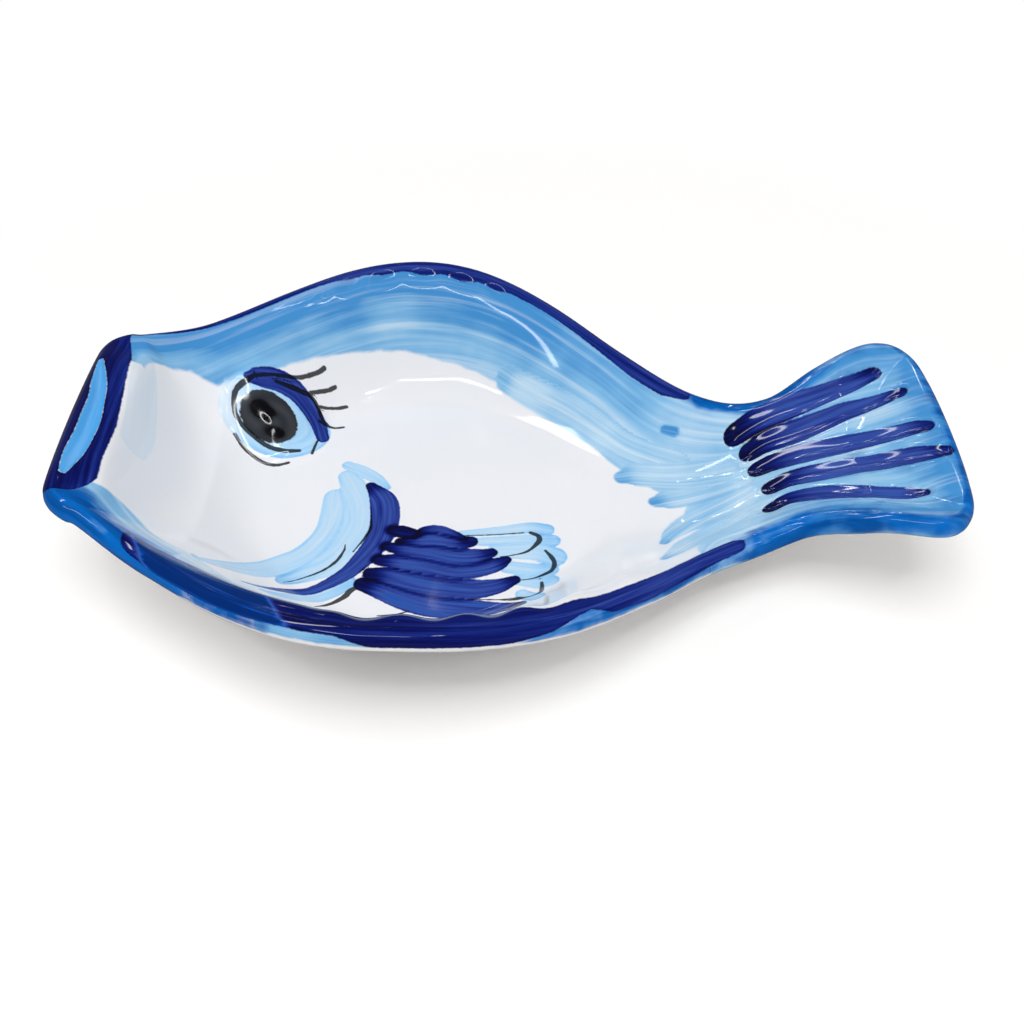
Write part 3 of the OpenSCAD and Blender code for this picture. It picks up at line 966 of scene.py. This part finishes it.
def glaze(name):
    """White glaze with the brushwork under it, glossy and a little wavy."""
    n = Nodes(name)
    place = n.add("ShaderNodeTexCoord").outputs["Object"]

    # Bare glaze, thinner and cooler in places, with a few pinholes
    cloud = n.noise(place, 22.0, 3.0)
    colour = n.blend(cloud, WHITE, WHITE_COOL)
    cells = n.add("ShaderNodeTexVoronoi", feature="F1")
    n.feed(cells.inputs["Vector"], place)
    n.feed(cells.inputs["Scale"], 70.0)
    chosen = n.math("GREATER_THAN", n.noise(place, 31.0, 0.0), 0.62)
    pinhole = n.math("MULTIPLY", n.step(cells.outputs["Distance"], 0.045, 0.02), chosen)
    colour = n.blend(pinhole, colour, SPECK)

    # Sky blue wash
    grain = n.vector("wash_grain")
    wash_streak = streaks(n, grain, 70, 1.9)
    wash_cloud = n.noise(place, 45.0, 2.0)
    tone = n.math("MULTIPLY_ADD", wash_streak, 1.0, n.number("wash_tone"))
    tone = n.math("MULTIPLY_ADD", wash_cloud, 0.9, n.math("SUBTRACT", tone, 0.93))
    wash_colour = n.ramp(tone, [(0.0, SKY_PALE), (0.5, SKY), (1.0, SKY_DEEP)])
    wash_share = edge_share(n, "wash_edge", 1.6, 0.6, 160.0)
    wash_body = n.math("MULTIPLY_ADD", n.step(wash_streak, 0.25, 0.5), 0.22, 0.76)
    cover = n.math("MULTIPLY", wash_share, wash_body)
    colour = n.blend(cover, colour, wash_colour)

    # Light strokes of gill, feathers and eye
    light_streak = streaks(n, n.vector("light_grain"), 30, 1.8)
    tone = n.math("MULTIPLY_ADD", light_streak, 0.9, n.math("SUBTRACT", n.number("light_tone"), 0.35))
    rim_of_stroke = n.step(n.number("light_edge"), -1.6, 0.0)
    tone = n.math("MULTIPLY_ADD", rim_of_stroke, 0.2, tone)
    light_colour = n.ramp(tone, [(0.0, SKY_PALE), (0.55, shade(130, 200, 244)), (1.0, shade(80, 168, 234))])
    light_share = edge_share(n, "light_edge", 0.5, 0.3)
    light_body = n.math("MULTIPLY_ADD", tone, 0.4, 0.5)
    cover = n.math("MULTIPLY", light_share, light_body)
    colour = n.blend(cover, colour, light_colour)

    # Stronger blue on neck, tail and mouth corner
    medium_streak = streaks(n, grain, 26, 3.4)
    medium_colour = n.blend(n.step(medium_streak, 0.3, 0.7), MEDIUM, MEDIUM_DEEP)
    share = n.math("MULTIPLY_ADD", n.math("SUBTRACT", medium_streak, 0.5), 0.9, n.number("medium"))
    share = n.math("MULTIPLY_ADD", n.math("SUBTRACT", n.noise(place, 100.0, 2.0), 0.5), 1.1, share)
    share = n.math("MULTIPLY", n.step(share, 0.15, 0.9), n.step(n.number("medium"), 0.0, 0.15))
    colour = n.blend(share, colour, medium_colour)

    # Cobalt strokes, darker where the colour pooled at their edges
    cobalt_grain = n.vector("cobalt_grain")
    cobalt_streak = streaks(n, cobalt_grain, 34, 1.3)
    pool = n.step(n.number("cobalt_edge"), -1.3, -0.1)
    tone = n.math("MULTIPLY_ADD", n.math("SUBTRACT", cobalt_streak, 0.5), 0.85, n.number("cobalt_tone"))
    tone = n.math("MULTIPLY_ADD", pool, 0.1, tone)
    cobalt_colour = n.ramp(tone, COBALT_STOPS)
    cobalt_share = edge_share(n, "cobalt_edge", 0.6, 0.25)
    colour = n.blend(cobalt_share, colour, cobalt_colour)

    # Ink: iris and thin lines
    iris_share = edge_share(n, "iris_edge", 1.4, 0.3)
    iris_colour = n.blend(n.number("iris_tone"), shade(66, 70, 76), INK_BLACK)
    colour = n.blend(iris_share, colour, iris_colour)
    line = n.add("ShaderNodeAttribute", attribute_name="line")
    parts = n.add("ShaderNodeSeparateColor")
    n.feed(parts.inputs[0], line.outputs["Color"])
    past_end = n.math("MAXIMUM", parts.outputs[1], 0.0)
    beside_square = n.math("POWER", parts.outputs[0], 2.0)
    past_square = n.math("POWER", past_end, 2.0)
    off = n.math("SQRT", n.math("ADD", beside_square, past_square))
    off = n.math("SUBTRACT", off, parts.outputs[2])
    wander = n.math("SUBTRACT", n.noise(place, 500.0, 2.0), 0.5)
    drawn = n.step(n.math("MULTIPLY_ADD", wander, 0.5, off), 0.16, -0.16)
    drawn = n.math("MULTIPLY", drawn, n.step(line.outputs["Alpha"], 0.95, 0.6))
    colour = n.blend(n.math("MULTIPLY", drawn, 0.93), colour, INK)

    n.feed(n.shader.inputs["Base Color"], colour)
    rough = n.math("MULTIPLY_ADD", n.noise(place, 90.0, 4.0), 0.07, 0.03)
    n.feed(n.shader.inputs["Roughness"], rough)
    n.feed(n.shader.inputs["IOR"], 1.5)

    # Waves of the glaze
    waves = n.noise(place, 45.0, 0.0)
    n.bump(n.math("MULTIPLY_ADD", pinhole, -0.15, waves), 0.0003)
    return n.material


def bare_clay(name):
    """Unglazed fired clay with grog and a little dirt."""
    n = Nodes(name)
    place = n.add("ShaderNodeTexCoord").outputs["Object"]
    grains = n.noise(place, 900.0, 4.0, 0.7)
    patches = n.noise(place, 60.0, 3.0)
    colour = n.blend(patches, shade(222, 204, 180), shade(198, 172, 144))
    colour = n.blend(n.step(grains, 0.62, 0.72), colour, shade(150, 118, 92))
    n.feed(n.shader.inputs["Base Color"], colour)
    n.feed(n.shader.inputs["Roughness"], n.math("MULTIPLY_ADD", grains, 0.2, 0.72))
    n.bump(grains, 0.0003)
    return n.material


def foot():
    """The oval coil under the well, with worn round edges."""
    low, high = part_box("foot_ring")
    middle = (np.array(low) + np.array(high))[:2] / 2 / MM
    half_length, half_width_y = (np.array(high) - np.array(low))[:2] / 2 / MM
    thick = 8.0
    height = FOOT_HEIGHT + 0.4
    corner = 1.0
    section = [(0, height), (0, corner)]
    turns = np.radians([25, 50, 75, 90])
    section += [(corner - corner * math.cos(a), corner - corner * math.sin(a)) for a in turns]
    section += [(thick / 2, 0)]
    section += [(thick - a, b) for a, b in section[-2::-1]]
    section += section[:1]
    turn = np.linspace(0, 2 * np.pi, 160, endpoint=False)
    rings = []
    for inward, z in section:
        x = middle[0] + (half_length - inward) * np.cos(turn)
        y = middle[1] + (half_width_y - inward) * np.sin(turn)
        rings.append(np.column_stack([x, y, np.full(len(turn), z)]))
    piece, _ = make_mesh("foot", np.vstack(rings), grid_faces(len(rings), len(turn), True))
    return piece


# Pieces on the frame

for build, node, slot, finish in (
    (platter_body, "dish_shell", "painted_glaze", glaze),
    (mouth_lips, "mouth_lip", "lip_glaze", glaze),
    (eye_dome, "eye_boss", "eye_glaze", glaze),
    (foot, "foot_ring", "bare_clay", bare_clay),
):
    piece = build()
    piece.data.materials.append(finish(slot))
    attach(piece, "root")
    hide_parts(node)


# Stage: pale floor, soft light and the camera


def floor():
    """White paper; far from the platter the camera sees it plain white."""
    size = 6.0
    mesh = bpy.data.meshes.new("floor")
    corners = [(-size, -size, 0), (size, -size, 0), (size, size, 0), (-size, size, 0)]
    mesh.from_pydata(corners, [], [(0, 1, 2, 3)])
    plane = bpy.data.objects.new("floor", mesh)
    bpy.context.scene.collection.objects.link(plane)
    n = Nodes("floor_paper")
    place = n.add("ShaderNodeTexCoord").outputs["Object"]
    rays = n.add("ShaderNodeLightPath")
    paper = n.blend(n.noise(place, 300.0, 3.0), shade(254, 253, 251), shade(253, 252, 250))
    # In the glaze's reflections the paper is painted a dim grey: painted shade, so that the mirrored floor
    # stays dark
    paper = n.blend(rays.outputs["Is Glossy Ray"], paper, shade(90, 90, 92))
    n.feed(n.shader.inputs["Base Color"], paper)
    n.feed(n.shader.inputs["Roughness"], 0.9)
    n.feed(n.shader.inputs["Specular IOR Level"], 0.0)
    away = n.add("ShaderNodeVectorMath", operation="LENGTH")
    n.feed(away.inputs[0], place)
    plain = n.step(away.outputs["Value"], 0.18, 0.33)
    seen = rays.outputs["Is Camera Ray"]
    white = n.add("ShaderNodeEmission")
    both = n.add("ShaderNodeMixShader")
    n.feed(both.inputs[0], n.math("MULTIPLY", plain, seen))
    n.feed(both.inputs[1], n.shader.outputs[0])
    n.feed(both.inputs[2], white.outputs[0])
    n.feed(n.tree.nodes["Material Output"].inputs["Surface"], both.outputs[0])
    mesh.materials.append(n.material)


def world():
    """White to the camera, an even and slightly warm light on the platter, and dim in its reflections."""
    scene_world = bpy.data.worlds.new("studio")
    bpy.context.scene.world = scene_world
    scene_world.use_nodes = True
    tree = scene_world.node_tree
    background = tree.nodes["Background"]
    path = tree.nodes.new("ShaderNodeLightPath")
    strength = 0.6
    for ray, value in (("Is Glossy Ray", 0.06), ("Is Camera Ray", 1.0)):
        choice = tree.nodes.new("ShaderNodeMix")
        choice.inputs[3].default_value = value
        tree.links.new(path.outputs[ray], choice.inputs[0])
        if isinstance(strength, float):
            choice.inputs[2].default_value = strength
        else:
            tree.links.new(strength, choice.inputs[2])
        strength = choice.outputs[0]
    tree.links.new(strength, background.inputs["Strength"])
    tint = tree.nodes.new("ShaderNodeMix")
    tint.data_type = "RGBA"
    tint.inputs[6].default_value = (1.0, 0.965, 0.935, 1)
    tint.inputs[7].default_value = (1, 1, 1, 1)
    tree.links.new(path.outputs["Is Camera Ray"], tint.inputs[0])
    tree.links.new(tint.outputs[2], background.inputs["Color"])


def soft_lamp(name, place, width, depth, watts, mirrored, way=None, colour=(1, 1, 1), beam=math.pi):
    """A rectangular lamp that shines down, or the way it is turned; the glaze mirrors it or not."""
    lamp = bpy.data.lights.new(name, "AREA")
    lamp.color = colour
    lamp.shape = "RECTANGLE"
    lamp.size = width
    lamp.size_y = depth
    lamp.energy = watts
    lamp.spread = beam
    holder = bpy.data.objects.new(name, lamp)
    bpy.context.scene.collection.objects.link(holder)
    holder.location = place
    holder.rotation_mode = "QUATERNION"
    holder.rotation_quaternion = way or Quaternion()
    holder.visible_glossy = mirrored


def about_z(turn):
    return Quaternion((0, 0, 1), turn)


def light_ring(name, middle, radius, bar, watts, count, sides, aim=None, beam=math.pi):
    """Some of the sides of a ring of slim bars, which the glaze mirrors as fine lines."""
    middle = Vector(middle)
    plane = Quaternion()
    lean = Quaternion()
    if aim:
        sight = Vector(aim) - middle
        plane = sight.to_track_quat("-Z", "Y")
        lean = Quaternion((0, 1, 0), math.atan2(radius, sight.length))
    length = 2 * radius * math.tan(math.pi / count)
    for side in sides:
        turned = plane @ about_z(2 * math.pi * side / count)
        place = middle + turned @ Vector((radius, 0, 0))
        soft_lamp("%s_%d" % (name, side), place, bar, length, watts, True, turned @ lean, beam=beam)


def lamps():
    """A softbox that the glaze doesn't mirror, and slim bars whose mirror images are the glints."""
    height = 1.8
    iris = (-0.093, 0.038, 0.03)
    tail = (0.13, 0, 0.035)
    soft_lamp("softbox", (0.0, -0.5, height), 1.1, 1.1, 12.5, False, colour=(0.9, 0.955, 1.0))
    light_ring("wide_bar", (-0.22, -0.15, height), 0.92, 0.1, 2.7, 8, (3, 5, 6, 7))
    soft_lamp("back_bar", (-0.36, -0.5, height), 0.06, 0.4, 0.8, True, about_z(math.radians(38)))
    light_ring("eye_bar", (0.33, -0.18, height), 0.2, 0.03, 0.00004, 24, range(24), iris, math.radians(3))
    light_ring("tail_bar", (-0.5, 2.05, height), 0.45, 0.045, 0.0012, 8, range(8), tail, math.radians(5))


def camera():
    elevation = math.radians(42.5)
    distance = 0.448
    aim_height = 0.0042
    view_angle = 45
    lens = bpy.data.cameras.new("camera")
    lens.sensor_width = 36
    lens.lens = lens.sensor_width / 2 / math.tan(math.radians(view_angle / 2))
    lens.clip_start = 0.01
    holder = bpy.data.objects.new("camera", lens)
    bpy.context.scene.collection.objects.link(holder)
    holder.location = (0, -distance * math.cos(elevation), aim_height + distance * math.sin(elevation))
    holder.rotation_euler = (math.pi / 2 - elevation, 0, 0)
    bpy.context.scene.camera = holder


floor()
world()
lamps()
camera()
bpy.context.scene.view_settings.view_transform = "Standard"
